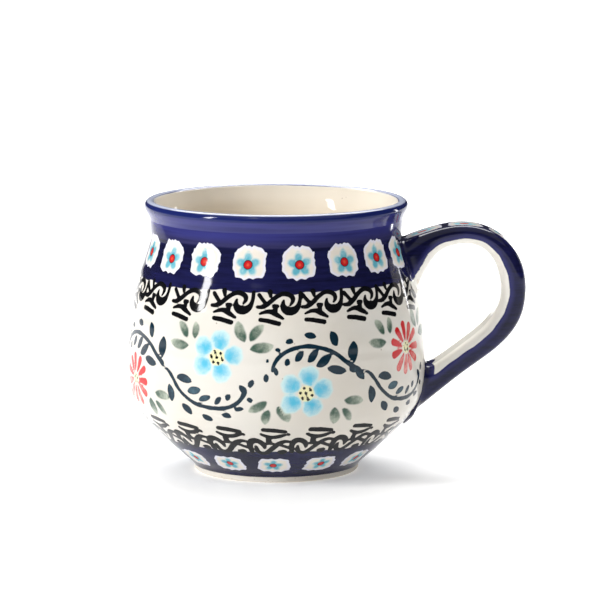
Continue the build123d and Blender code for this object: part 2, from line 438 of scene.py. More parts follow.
class Painting:
    """Ink laid on a surface. Each ink is a field of how deep a vertex lies inside its marks, in mm."""

    def __init__(self, right_of, up_of, count):
        self.right_of = right_of
        self.up_of = up_of
        self.inks = {ink: np.full(count, -FAR) for ink in INKS}
        self.wash = np.ones(count)
        self.dice = random.Random(7)

    def near(self, spot, reach):
        """Vertices within reach of a spot, and how far right and up of it each lies."""
        right, up = self.right_of(spot), self.up_of(spot)
        close = np.flatnonzero((np.abs(right) < reach) & (np.abs(up) < reach))
        return close, right[close], up[close]

    def lay(self, ink, close, depth, wash=None):
        """Adds a mark to an ink, and sets how strong the ink is there."""
        self.inks[ink][close] = np.maximum(self.inks[ink][close], depth)
        if wash is not None:
            wet = depth > -WET_RIM
            strength = np.broadcast_to(wash, depth.shape)
            self.wash[close[wet]] = strength[wet]

    def lift(self, ink, other):
        """Keeps an ink off the marks of another."""
        self.inks[ink] = np.minimum(self.inks[ink], -self.inks[other])

    def stroke(self, ink, spot, points, wash=None):
        """A brush stroke through (right, up, half width) points about a spot."""
        reach = max(max(abs(right), abs(up)) for right, up, _ in points) + FAR
        close, right, up = self.near(spot, reach)
        depth = np.full(len(close), -FAR)
        for (x0, y0, w0), (x1, y1, w1) in zip(points, points[1:]):
            run, rise = x1 - x0, y1 - y0
            share = ((right - x0) * run + (up - y0) * rise) / max(run * run + rise * rise, TINY)
            share = np.clip(share, 0, 1)
            gap = np.hypot(right - x0 - share * run, up - y0 - share * rise)
            depth = np.maximum(depth, w0 + share * (w1 - w0) - gap)
        self.lay(ink, close, depth, wash)

    def round_dot(self, ink, spot, radius):
        """A round dab."""
        close, right, up = self.near(spot, radius + FAR)
        self.lay(ink, close, radius - np.hypot(right, up))

    def leaf(self, ink, spot, length, width, tilt, wash, fade=0.0, blunt=2.2):
        """A pointed leaf. fade is how much paler its tip is than its base."""
        close, right, up = self.near(spot, length / 2 + FAR)
        turn = math.radians(tilt)
        along = (right * math.cos(turn) + up * math.sin(turn)) / (length / 2)
        across = up * math.cos(turn) - right * math.sin(turn)
        lean = 0.12 * width * np.sin(along * 1.7 + tilt)
        swell = width / 2 * (1 - np.abs(along) ** blunt)
        depth = swell - np.abs(across - lean)
        beyond = np.clip(np.abs(along) - 1, 0, None) * length / 2
        depth = depth - 0.6 * beyond
        strength = np.clip(wash * (1 - fade * (0.5 + 0.5 * along)), 0, 1)
        self.lay(ink, close, depth, strength)


def pot_painting(points):
    """A painting over the outside of the pot, whose spots are (angle, height)."""
    radius = np.hypot(points[:, 0], points[:, 1])
    angle = np.degrees(np.arctan2(points[:, 0], -points[:, 1]))
    along = level(points[:, 2])

    def right_of(spot):
        away = angle - spot[0]
        return np.radians(away - 360 * np.rint(away / 360)) * radius

    def up_of(spot):
        return along - level(spot[1])

    return Painting(right_of, up_of, len(points))


def medallion(paint, spot, half_wide, half_high, dice):
    """A white scalloped patch with a small turquoise flower and a red dot."""
    close, right, up = paint.near(spot, max(half_wide, half_high) + FAR)
    bearing = np.arctan2(up / half_high, right / half_wide)
    power = 3.8  # 2 is an ellipse, and more is squarer
    squarish = (np.abs(np.cos(bearing)) ** power + np.abs(np.sin(bearing)) ** power) ** (-1 / power)
    phase = dice.uniform(0, math.tau)
    scallops = 1.0 - 0.085 * np.abs(np.sin(6.5 * bearing + phase))
    scallops += 0.03 * np.sin(5 * bearing + 2 * phase) + 0.018 * np.sin(11 * bearing + phase)
    reach = np.hypot(right / half_wide, up / half_high)
    depth = (squarish * scallops * 1.01 - reach) * min(half_wide, half_high)
    paint.lay("white", close, depth)
    size = min(half_wide, half_high) / 5
    petal_long, petal_wide, petal_away, dot_radius = 1.6 * size, 1.3 * size, 2.2 * size, 1.5 * size
    lean = dice.uniform(-8, 8)
    offset = (dice.uniform(-0.5, 0.5), dice.uniform(-0.45, 0.15))
    for index in range(5):
        bearing = math.radians(90 + 72 * index + lean)
        x = right - offset[0] - petal_away * math.cos(bearing)
        y = up - offset[1] - petal_away * math.sin(bearing)
        along = x * math.cos(bearing) + y * math.sin(bearing)
        across = y * math.cos(bearing) - x * math.sin(bearing)
        depth = (1 - np.hypot(along / petal_long, across / petal_wide)) * petal_wide
        paint.lay("blue", close, depth, 0.55 + 0.4 * dice.random())
    dot = np.hypot(right - offset[0], up - offset[1])
    paint.lay("red", close, dot_radius - dot, 0.95)


def scroll_stamp(paint, spot, strokes, bold, dice):
    """One print of a scroll stamp, a little turned as a hand presses it."""
    turn = math.radians(dice.uniform(-1.6, 1.6))
    cos, sin = math.cos(turn), math.sin(turn)
    swell = bold + dice.uniform(-0.04, 0.04)
    for points in strokes.values():
        moved = [(x * cos - y * sin, x * sin + y * cos, half + swell) for x, y, half in points]
        curved = len(moved) > 3
        if curved:
            moved = [tuple(row) for row in spline(moved, 4 * len(moved))]
        paint.stroke("black", spot, moved)


def blue_flower(paint, spot, dice):
    """Five round washed petals about a yellow eye."""
    for bearing, distance in BLUE_PETALS:
        turn = math.radians(bearing + dice.uniform(-4, 4))
        close, right, up = paint.near(spot, distance + FAR)
        x = right - distance * math.cos(turn)
        y = up - distance * math.sin(turn)
        size = dice.uniform(*BLUE_PETAL_RADII)
        around = np.arctan2(y, x)
        wobble = 0.14 * np.sin(3 * around + bearing) + 0.1 * np.sin(7 * around + 2 * bearing)
        depth = size + wobble - np.hypot(x, y * 1.02)
        inwards = 0.3 * size
        pool = 1.0 - 0.68 * np.hypot(x + inwards * math.cos(turn), y + inwards * math.sin(turn)) / size
        paint.lay("blue", close, depth, np.clip(pool, 0.12, 1))
    paint.round_dot("gold", spot, BLUE_EYE)
    for x, y in STAMENS:
        dash = [(x - 0.15, y + 0.2, 0.4), (x + 0.15, y - 0.2, 0.48)]
        paint.stroke("black", spot, dash)


def daisy(paint, spot, dice):
    """Tapered red petals, paler below, about a small yellow eye."""
    for index in range(DAISY_PETALS):
        bearing = 97 - 360 / DAISY_PETALS * index + dice.uniform(-3, 3)
        turn = math.radians(bearing)
        cos, sin = math.cos(turn), math.sin(turn)
        tip = dice.uniform(*DAISY_REACH)
        drooping = sin <= -0.25
        strength = 0.5 + 0.3 * dice.random() if drooping else 0.98
        points = [(2.5 * cos, 2.5 * sin, 0.4), (4.6 * cos, 4.6 * sin, 0.98), (tip * cos, tip * sin, 1.2)]
        paint.stroke("red", spot, points, strength)
    paint.round_dot("gold", spot, DAISY_EYE)
    for index in range(DAISY_DOTS):
        turn = math.radians(360 / DAISY_DOTS * index + 20)
        x, y = DAISY_DOTS_AWAY * math.cos(turn), DAISY_DOTS_AWAY * math.sin(turn)
        paint.stroke("black", spot, [(x - 0.12, y + 0.12, 0.34), (x + 0.12, y - 0.12, 0.4)])


def half_wave(paint, angle, stretch, vine, leaves, sage, dice):
    """One half wave of the vine with its leaves, and the sage leaves beside its flower."""
    base = (angle, vine[0][1])
    points = []
    for turn, height, half in spline(vine, 4 * len(vine)):
        right = math.radians(turn * stretch) * float(wall_radius(height))
        up = float(level(height) - level(base[1]))
        unsteady = 0.03 + 0.06 * math.sin(9 * turn)
        points.append((right, up, half + unsteady))
    paint.stroke("vine", base, points, 0.95)
    for turn, height, length, width, tilt, wash in leaves:
        strength = wash * dice.uniform(0.88, 1.0)
        spot = (angle + turn * stretch, height)
        paint.leaf("vine", spot, length, width, tilt, strength, fade=0.12)
    for turn, height, length, width, tilt in sage:
        strength = dice.uniform(0.75, 1.0)
        spot = (angle + turn * stretch, height)
        paint.leaf("sage", spot, length, width, tilt, strength, fade=0.75, blunt=2.6)


def paint_pot(points):
    """All the ink on the outside of the pot."""
    paint = pot_painting(points)
    dice = paint.dice
    angle = np.arctan2(points[:, 0], -points[:, 1])
    radius = np.hypot(points[:, 0], points[:, 1])
    height = points[:, 2]
    along = level(height)
    everywhere = np.arange(len(points))
    # The bands' edges wander as a hand draws them, and end on the lip's round in a softer wave
    hand = 0.22 * np.sin(7 * angle + 1) + 0.16 * np.sin(19 * angle) + 0.1 * np.sin(43 * angle + 2)
    lip_turn = np.degrees(np.arctan2(height - LIP_CENTRE[1], radius - LIP_CENTRE[0]))
    over_lip = np.radians(PAINTED_LIP + 4 * np.sin(5 * angle) - lip_turn) * LIP_ROUND
    on_lip = (height > LIP_CENTRE[1]) & (lip_turn > 0)
    upper = along - level(UPPER_COBALT) + 1.6 * hand
    paint.lay("cobalt", everywhere, np.clip(np.where(on_lip, over_lip, upper), -FAR, FAR))
    paint.lay("cobalt", everywhere, np.clip(level(LOWER_COBALT) - along + hand, -FAR, FAR))
    for angles, height_at, drift, half_wide, half_high in MEDALLION_ROWS:
        for angle_at in angles:
            medallion(paint, (angle_at, height_at + dice.uniform(*drift)), half_wide, half_high, dice)
    paint.lift("cobalt", "white")
    for angles, height_at, strokes, swell in SCROLL_ROWS:
        for angle_at in angles:
            scroll_stamp(paint, (angle_at, height_at), strokes, swell, dice)
    for places, flower_height, vine, leaves, sage, spare in HALF_WAVES:
        for angle_at, stretch, flower in places:
            kept = leaves[: len(leaves) - spare] if flower == "red" else leaves
            half_wave(paint, angle_at, stretch, vine, kept, sage, dice)
            draw = blue_flower if flower == "blue" else daisy
            draw(paint, (angle_at, flower_height), dice)
    root_cobalt(paint)
    return paint


def root_cobalt(paint):
    """Cobalt carried round the handle's roots onto the wall."""
    for side in (-1, 1):
        flare = [(side * 10.5, 8.0, 2.0), (side * 10.2, 2.0, 1.4), (side * 9.6, -1.5, 0.5)]
        paint.stroke("cobalt", (HANDLE_ANGLE, UPPER_ROOT), flare)
        tail = [(side * 5.5, 11.0, 1.6), (side * 5.6, 3.0, 1.6), (side * 3.6, -2.0, 1.2), (0.0, -4.5, 0.5)]
        paint.stroke("cobalt", (HANDLE_ANGLE, LOWER_ROOT), tail)
    close, _, _ = paint.near((HANDLE_ANGLE, LOWER_ROOT), 16.0)
    for ink in ("vine", "sage", "blue", "red", "gold", "black"):
        paint.inks[ink][close] = np.where(paint.inks["cobalt"][close] > 0, -FAR, paint.inks[ink][close])


# ---------------------------------------------------------------- materials


class Signal:
    """A shader socket. Arithmetic on it adds Math nodes."""

    def __init__(self, tree, socket):
        self.tree = tree
        self.socket = socket

    def math(self, operation, *others):
        return self.tree.node("ShaderNodeMath", {"operation": operation}, dict(enumerate((self,) + others)))

    def output(self, name):
        """Another output of the node this signal comes from."""
        return Signal(self.tree, self.socket.node.outputs[name])

    def __add__(self, other):
        return self.math("ADD", other)

    def __sub__(self, other):
        return self.math("SUBTRACT", other)

    def __rsub__(self, other):
        return self.tree.node("ShaderNodeMath", {"operation": "SUBTRACT"}, {0: other, 1: self})

    def __mul__(self, other):
        return self.math("MULTIPLY", other)

    __radd__ = __add__
    __rmul__ = __mul__


class Tree:
    """A node tree of a material or a world, written as expressions."""

    def __init__(self, owner):
        self.owner = owner
        self.nodes = owner.node_tree.nodes
        self.links = owner.node_tree.links
        self.shader = self.nodes.get("Principled BSDF")

    @classmethod
    def material(cls, name):
        """The tree of a new material."""
        owner = bpy.data.materials.new(name)
        owner.use_nodes = True
        return cls(owner)

    def node(self, kind, settings=None, inputs=None, output=0):
        """Adds a node of a kind, its settings first and then its sockets, and gives an output."""
        made = self.nodes.new(kind)
        for name, value in (settings or {}).items():
            setattr(made, name, value)
        for name, value in (inputs or {}).items():
            self.feed(made.inputs[name], value)
        return Signal(self, made.outputs[output])

    def feed(self, socket, value):
        """Links a signal to a socket, or sets its value."""
        if isinstance(value, Signal):
            self.links.new(value.socket, socket)
        else:
            socket.default_value = value

    def finish(self, **sockets):
        """Feeds the shader and gives the material. Underscores stand for spaces."""
        for name, value in sockets.items():
            self.feed(self.shader.inputs[name.replace("_", " ")], value)
        return self.owner

    def place(self):
        """Object coordinates."""
        return self.node("ShaderNodeTexCoord", output="Object")

    def field(self, name):
        """A number that the mesh carries at each vertex."""
        return self.node("ShaderNodeAttribute", {"attribute_name": name}, output="Fac")

    def noise(self, place, scale, detail=2.0, rough=0.5):
        """Soft noise from 0 to 1."""
        inputs = {"Vector": place, "Scale": scale, "Detail": detail, "Roughness": rough}
        return self.node("ShaderNodeTexNoise", None, inputs)

    def stretched(self, place, scale):
        """Coordinates multiplied along each axis."""
        return self.node("ShaderNodeVectorMath", {"operation": "MULTIPLY"}, {0: place, 1: scale})

    def step(self, value, low, high):
        """0 below low, 1 above high and smooth between."""
        inputs = {"Value": value, "From Min": low, "From Max": high}
        return self.node("ShaderNodeMapRange", {"interpolation_type": "SMOOTHSTEP"}, inputs)

    def mix(self, share, first, second):
        """One colour laid over another, by a share that is kept from 0 to 1."""
        settings = {"data_type": "RGBA", "clamp_factor": True}
        factor, under, over, blended = 0, 6, 7, 2  # the colour sockets' places on the node
        return self.node("ShaderNodeMix", settings, {factor: share, under: first, over: second}, blended)

    def bump(self, height, strength, distance):
        """A normal from a height."""
        inputs = {"Height": height, "Strength": strength, "Distance": distance}
        return self.node("ShaderNodeBump", None, inputs)


def linear(colour):
    """An sRGB colour of 0 to 255 as linear RGBA."""

    def one(value):
        value = value / 255
        return value / 12.92 if value <= 0.04045 else ((value + 0.055) / 1.055) ** 2.4

    return tuple(one(value) for value in colour) + (1.0,)


GLAZE_IOR = 1.4
GLAZE_SHINE = 0.36
IRON = linear((120, 92, 66))
CLOUDED_GLAZE = linear((214, 204, 188))
GROG = linear((150, 120, 92))


def glaze_finish(tree, place, colour, relief):
    """Feeds a glossy fired glaze: the colour, a faintly uneven gloss and the skin of melted glass."""
    dimples = tree.noise(place, 620.0, 2.0)
    waves = tree.noise(place, 70.0, 1.0)
    skin = tree.bump(dimples * 0.35 + waves * 0.9 + relief, strength=0.22, distance=0.12 * MM)
    gloss = tree.noise(place, 260.0, 3.0)
    return tree.finish(
        Base_Color=colour,
        Roughness=gloss * 0.05 + 0.045,
        Normal=skin,
        IOR=GLAZE_IOR,
        Specular_IOR_Level=GLAZE_SHINE,
    )


def specks(tree, place, colour):
    """Fine iron specks and soft cloudiness on a pale ground."""
    grains = tree.node("ShaderNodeTexVoronoi", None, {"Vector": place, "Scale": 420.0}, "Distance")
    rare = tree.step(tree.noise(place, 190.0, 0.0), 0.66, 0.72)
    speck = (1 - tree.step(grains, 0.06, 0.16)) * rare
    cloud = tree.step(tree.noise(place, 26.0, 3.0), 0.35, 0.75)
    cloudy = tree.mix(cloud * 0.5, colour, CLOUDED_GLAZE)
    return tree.mix(speck * 0.55, cloudy, IRON)


def cobalt_wash(tree, place, colours):
    """Brushed cobalt: thin and thick streaks that run round the pot."""
    streaks = tree.noise(tree.stretched(place, (0.22, 0.22, 2.6)), 330.0, 3.0, 0.6)
    pools = tree.noise(place, 60.0, 2.0)
    share = tree.step(streaks * 0.62 + pools * 0.38, 0.36, 0.66)
    return tree.mix(share, colours.cobalt_deep, colours.cobalt_thin)


def height_of(tree, place):
    """Height above the table, in metres."""
    return tree.node("ShaderNodeSeparateXYZ", None, {0: place}, "Z")


def white_stamps(tree, colours, under):
    """White slip stamped on a colour, bluish at its edge where cobalt bled in."""
    patch = tree.field("ink_white")
    lace = tree.mix(tree.step(patch, 0.1, 1.3), colours.lace_edge, colours.lace_heart)
    return tree.mix(tree.step(patch, -0.1, 0.1), under, lace)


def banded_cobalt(tree, place, colours):
    """The pot's cobalt: deep on the wall, violet on the neck, clear on the rim, pale on the lip's crest. The
    neck's violet is partly a painted reflection of the soft light, the greyer band at its foot is a painted
    reflection of the dark room, the rim's darkness is partly painted shade and the crest's paleness is partly
    a painted highlight.
    """
    height = height_of(tree, place)
    # Lighter violet above the band: partly the neck's own cobalt, partly a painted reflection of the soft
    # light
    above_band = tree.step(height, (NECK_TONE - 0.5) * MM, (NECK_TONE + 0.3) * MM)
    # The rim line: thicker cobalt, darkened partly as painted shade where the lip curves
    rim = tree.step(height, (RIM_TONE - 0.2) * MM, (RIM_TONE + 0.4) * MM)
    # The lip's crest: thin cobalt, lightened with a painted highlight
    crest = tree.step(height, (HEIGHT - 0.55) * MM, (HEIGHT - 0.2) * MM)
    # A greyer band at the foot of the neck: a painted reflection of the dark room
    border = 1 - tree.step(height, (NECK_TONE + 0.5) * MM, (NECK_TONE + 3.5) * MM)
    streaks = tree.noise(tree.stretched(place, (0.12, 0.12, 3.2)), 210.0, 2.0)
    cover = tree.step(streaks, 0.25, 0.6) * 0.4 + 0.6
    neck = tree.mix(border * 0.7, colours.neck_cobalt_and_sheen, colours.neck_border_dark_reflection)
    cobalt = tree.mix(above_band * (1 - rim) * cover, cobalt_wash(tree, place, colours), neck)
    cobalt = tree.mix(rim * 0.7, cobalt, colours.rim_cobalt_and_shade)
    return tree.mix(crest * 0.85, cobalt, colours.crest_cobalt_and_highlight)


def painted_glaze(colours):
    """The outside of the pot: folk painting under a clear glaze."""
    tree = Tree.material("painted_glaze")
    place = tree.place()
    shake = (tree.noise(place, 900.0, 2.0) - 0.5) * 0.16 + (tree.noise(place, 260.0, 1.0) - 0.5) * 0.12
    blotch = tree.noise(place, 520.0, 4.0, 0.65) - 0.5
    strength = tree.field("wash") + blotch * 0.9
    height = height_of(tree, place)
    over_scrolls = tree.step(height, UPPER_COBALT * MM - 0.0025, UPPER_COBALT * MM + 0.0005)
    under_scrolls = tree.step(height, LOWER_COBALT * MM + 0.0021, LOWER_COBALT * MM + 0.0001)
    in_medallion = over_scrolls + under_scrolls

    def mask(ink, soft):
        return tree.step(tree.field("ink_" + ink) + shake, -soft, soft)

    halo = tree.step(tree.field("ink_cobalt"), -1.1, 0.1) * 0.16
    colour = tree.mix(halo, specks(tree, place, colours.cream), colours.halo)
    colour = white_stamps(tree, colours, colour)
    colour = tree.mix(mask("cobalt", 0.09), colour, banded_cobalt(tree, place, colours))

    red = tree.field("ink_red")
    bead = tree.mix(tree.step(red, 0.7, 1.3) * 0.5, colours.red_deep, colours.bead)
    ringed = tree.mix(tree.step(red + shake, 0.12, 0.42), colours.black, bead)
    strong = {
        "sage": colours.sage_deep,
        "vine": colours.vine_deep,
        "blue": tree.mix(in_medallion, colours.blue_deep, colours.turquoise),
        "red": tree.mix(in_medallion, colours.red_deep, ringed),
    }
    # How soft an ink's edge is, how much it pools there, and the strengths that are palest and deepest
    inks = {
        "sage": (0.35, 0.0, 0.0, 0.85),
        "vine": (0.1, 0.2, 0.2, 0.85),
        "blue": (0.45, -0.25, 0.0, 1.0),
        "red": (0.16, 0.16, 0.35, 0.9),
    }
    for ink, (soft, pooling, palest, deepest) in inks.items():
        pooled = strength + tree.step(tree.field("ink_" + ink), 0.6, 0.0) * pooling
        tone = tree.mix(tree.step(pooled, palest, deepest), getattr(colours, ink + "_pale"), strong[ink])
        colour = tree.mix(mask(ink, soft), colour, tone)
    colour = tree.mix(mask("gold", 0.35) * 0.8, colour, colours.gold)
    colour = tree.mix(mask("black", 0.08), colour, colours.black)
    relief = mask("black", 0.3) * 0.5 + mask("cobalt", 0.4) * 0.7 + mask("vine", 0.3) * 0.4
    return glaze_finish(tree, place, colour, relief * 0.5)


def cream_glaze(colours):
    """The inside: clear glaze over cream clay, with painted shade that makes it darker and warmer low down.
    """
    tree = Tree.material("cream_glaze")
    place = tree.place()
    # Painted shade: darker and warmer towards the floor, lighter towards the lip
    lit_towards_lip = tree.step(height_of(tree, place), 20 * MM, HEIGHT * MM)
    ground = tree.mix(lit_towards_lip, colours.inside_low_shaded, colours.inside_high)
    rings = tree.noise(tree.stretched(place, (0.3, 0.3, 3.0)), 90.0, 2.0)
    return glaze_finish(tree, place, specks(tree, place, ground), rings * 0.8)


def handle_glaze(colours):
    """The handle: cobalt with white stamps outside and cream inside the loop, a lighter stripe along the
    cobalt's edge that is a painted reflection, and cream that is painted lighter as if lit.
    """
    tree = Tree.material("handle_glaze")
    place = tree.place()
    shake = (tree.noise(place, 700.0, 2.0) - 0.5) * 0.2
    # The cream inside the loop is a lit copy of the pot's cream: painted light
    colour = white_stamps(tree, colours, specks(tree, place, colours.handle_cream_lit))
    edge = tree.field("ink_cobalt") + shake
    by_stamp = tree.step(tree.field("ink_white"), -1.4, -0.8)
    # Lighter violet stripe along the cobalt's inner edge, away from the stamps: a painted reflection
    reflected_stripe = tree.step(edge, 2.3, 0.4) * (1 - by_stamp) * 0.6
    cobalt = tree.mix(reflected_stripe, cobalt_wash(tree, place, colours), colours.neck_cobalt_and_sheen)
    colour = tree.mix(tree.step(edge, -0.12, 0.12), colour, cobalt)
    for ink, soft in (("blue", 0.2), ("red", 0.15)):
        pale, deep = getattr(colours, ink + "_pale"), getattr(colours, ink + "_deep")
        tone = tree.mix(tree.field("wash") * 0.6, pale, deep)
        colour = tree.mix(tree.step(tree.field("ink_" + ink) + shake, -soft, soft), colour, tone)
    return glaze_finish(tree, place, colour, tree.step(edge, -0.4, 0.4) * 0.4)


def bare_clay(name, colour, shade):
    """Unglazed fired stoneware: matt, sandy and faintly toasted."""
    tree = Tree.material(name)
    place = tree.place()
    sand = tree.noise(place, 1500.0, 3.0, 0.7)
    toast = tree.step(tree.noise(place, 45.0, 2.0), 0.3, 0.8)
    grog = tree.node("ShaderNodeTexVoronoi", None, {"Vector": place, "Scale": 700.0}, "Distance")
    mixed = tree.mix(toast * 0.55, colour, shade)
    mixed = tree.mix(tree.step(grog, 0.22, 0.05) * 0.35, mixed, GROG)
    grain = tree.bump(sand * 0.7 + grog * 0.3, strength=0.5, distance=0.2 * MM)
    return tree.finish(Base_Color=mixed, Roughness=sand * 0.25 + 0.62, Normal=grain)


# ---------------------------------------------------------------- settings


def colour_setting(name, description, colour):
    """A colour a user can change, given in sRGB of 0 to 255."""
    return bpy.props.FloatVectorProperty(
        name=name, description=description, default=linear(colour), subtype="COLOR", size=4, min=0, max=1
    )


class MugColours(bpy.types.PropertyGroup):
    """Colours of the clay, glazes and inks."""

    cream: colour_setting("Cream ground", "Clay seen through clear glaze", (223, 219, 211))
    # Painted light: the cream inside the loop is brighter than the pot's, to stand in for the light falling
    # there
    handle_cream_lit: colour_setting("Handle cream", "Cream inside the loop", (247, 244, 236))
    halo: colour_setting("Cobalt halo", "Cream where cobalt has bled into the glaze", (198, 196, 216))
    lace_edge: colour_setting("Medallion edge", "Edge of a white stamp", (226, 226, 238))
    lace_heart: colour_setting("Medallion heart", "Middle of a white stamp", (231, 224, 212))
    cobalt_deep: colour_setting("Thick cobalt", "Cobalt where the brush left most", (19, 20, 48))
    cobalt_thin: colour_setting("Thin cobalt", "Cobalt where the brush left least", (28, 29, 72))
    # Lighter violet of the neck, partly its own cobalt and partly a painted reflection; also the handle's
    # painted reflected stripe
    neck_cobalt_and_sheen: colour_setting("Neck cobalt", "Lighter violet cobalt of the neck", (54, 55, 118))
    # Painted reflection of the dark room in the greyer band at the foot of the neck
    neck_border_dark_reflection: colour_setting("Neck border", "Greyer cobalt where the neck begins", (52, 50, 78))
    # Crest of the lip: thin cobalt with a painted highlight
    crest_cobalt_and_highlight: colour_setting("Lip crest", "Where the cobalt runs thin over the lip", (196, 202, 222))
    # The rim line: thick cobalt, partly painted shade where the lip curves
    rim_cobalt_and_shade: colour_setting("Rim cobalt", "Clear blue line on the lip", (28, 40, 104))
    sage_pale: colour_setting("Thin sage", "Watery tip of a sage leaf", (188, 194, 178))
    sage_deep: colour_setting("Thick sage", "Base of a sage leaf", (68, 92, 80))
    vine_pale: colour_setting("Thin vine ink", "Watery vine leaf", (62, 94, 108))
    vine_deep: colour_setting("Thick vine ink", "Vine strokes and strong leaves", (18, 42, 56))
    blue_pale: colour_setting("Thin blue", "Pale side of a blue petal", (200, 226, 226))
    blue_deep: colour_setting("Thick blue", "Strong side of a blue petal", (84, 184, 214))
    turquoise: colour_setting("Turquoise", "Small flowers of the medallions", (96, 172, 190))
    red_pale: colour_setting("Thin red", "Washed petal", (232, 158, 150))
    red_deep: colour_setting("Thick red", "Strong petal and medallion dots", (200, 36, 40))
    bead: colour_setting("Dot heart", "Orange middle of a medallion's dot", (226, 112, 66))
    gold: colour_setting("Yellow eye", "Middle of a blue flower", (238, 232, 176))
    black: colour_setting("Black", "Scroll stamps and stamens", (16, 17, 20))
    # Painted shade: the inside's cream darkens and warms towards the floor
    inside_low_shaded: colour_setting("Inside low", "Cream glaze near the floor", (232, 216, 192))
    inside_high: colour_setting("Inside high", "Cream glaze near the lip", (243, 235, 220))
    clay: colour_setting("Clay", "Bare stoneware", (238, 232, 222))
    clay_toast: colour_setting("Toasted clay", "Bare stoneware where the kiln browned it", (224, 211, 192))


class MugSizes(bpy.types.PropertyGroup):
    """Sizes of the coats and the strap, in metres."""

    coat: bpy.props.FloatProperty(
        name="Coat", description="Thickness of a glaze coat", default=0.0003, unit="LENGTH", precision=5
    )
    throwing: bpy.props.FloatProperty(
        name="Throwing", description="Depth of the ripple left by throwing", default=0.00008,
        unit="LENGTH", precision=5,
    )
    root_fillet: bpy.props.FloatProperty(
        name="Root fillet", description="Round where the handle meets the wall", default=0.0016,
        unit="LENGTH", precision=4,
    )
    columns: bpy.props.IntProperty(
        name="Columns", description="Steps round the painted coat", default=648, min=64, max=720
    )


class MugStage(bpy.types.PropertyGroup):
    """Camera and lights."""

    distance: bpy.props.FloatProperty(
        name="Distance", description="From the pot's axis to the camera, level", default=1.2, unit="LENGTH"
    )
    eye: bpy.props.FloatProperty(
        name="Eye height", description="Camera above the table", default=0.238, unit="LENGTH"
    )
    aim: bpy.props.FloatVectorProperty(
        name="Aim", description="Point in the middle of the view", default=(0.0075, 0.0, 0.0537),
        subtype="XYZ",
    )
    lens: bpy.props.FloatProperty(name="Lens", description="Focal length in millimetres", default=230.4)
    key: bpy.props.FloatProperty(
        name="Key", description="Power that each lamp is a share of", default=7.6, unit="POWER"
    )
    sky: bpy.props.FloatProperty(name="Sky", description="Strength of the light from all round", default=0.85)


# ---------------------------------------------------------------- pieces


class PieceOperator:
    """What the mug's operators share."""

    bl_options = {"REGISTER", "UNDO"}

    def execute(self, context):
        self.build(context.scene.mug_sizes, context.scene.mug_colours)
        return {"FINISHED"}


class MUG_OT_painted_coat(PieceOperator, bpy.types.Operator):
    """Makes the outside glaze with its folk painting"""

    bl_idname = "mug.painted_coat"
    bl_label = "Painted outside coat"

    def build(self, sizes, colours):
        top = OUTSIDE_ALONG[-1]
        coat = sizes.coat / MM
        zones = [(level(height), spacing) for height, spacing in ROW_ZONES] + [(top, LIP_SPACING)]
        surface = resampled(OUTSIDE, rows_by_spacing(zones))
        hidden = resampled(inset(OUTSIDE, coat), np.linspace(0, top, 13)[::-1])
        foot_line = surface[0]
        hem = [(foot_line[0] - coat * 0.35, foot_line[1] - 0.12)]
        outline = np.concatenate([surface, hidden, hem])
        shape = turned_mesh(outline, sizes.columns, sizes.throwing / MM)
        material = painted_glaze(colours)
        piece = finished(shape, "painted_coat", ["outside_glaze"], material)
        paint = paint_pot(points_of(piece.data))
        write_fields(piece.data, {"ink_" + ink: values for ink, values in paint.inks.items()})
        write_fields(piece.data, {"wash": paint.wash})


class MUG_OT_inside_coat(PieceOperator, bpy.types.Operator):
    """Makes the cream glaze inside the pot"""

    bl_idname = "mug.inside_coat"
    bl_label = "Inside coat"

    def build(self, sizes, colours):
        line = inner_line()
        length = lengths_along(line)[-1]
        surface = resampled(line, np.linspace(0, length, 110))
        hidden = resampled(inset(line, sizes.coat / MM), np.linspace(0, length, 40)[::-1])
        hidden[0][0] = 0.0
        outline = np.concatenate([surface[::-1], hidden[::-1]])
        shape = turned_mesh(outline, 288, sizes.throwing / MM)
        finished(shape, "inside_coat", ["inside_glaze"], cream_glaze(colours))


def strap_rings(rings):
    """Smooth middle, outward direction, half thickness, half width and corner round along the strap."""
    outer = np.array([section[0] for section in STRAP])
    inner = np.array([section[1] for section in STRAP])
    size = np.array([section[2:] for section in STRAP])
    line = spline(np.hstack([(outer + inner) / 2, outer, inner, size]), rings)
    across = line[:, 2:4] - line[:, 4:6]
    thick = np.linalg.norm(across, axis=1)
    return line[:, :2], across / thick[:, None], thick / 2, line[:, 6] / 2, line[:, 7]


def section_spokes(flat, arc):
    """Stops round a section: shares of its half sizes, and the bearing on its corner's round."""
    corners = np.array([(1, -1), (1, 1), (-1, 1), (-1, -1), (1, -1)])
    spokes = []
    for side, (corner, following) in enumerate(zip(corners, corners[1:])):
        spokes += [(*(corner + (following - corner) * step / flat), 90 * side) for step in range(flat)]
        spokes += [(*following, 90 * (side + step / arc)) for step in range(arc)]
    return spokes + spokes[:1]


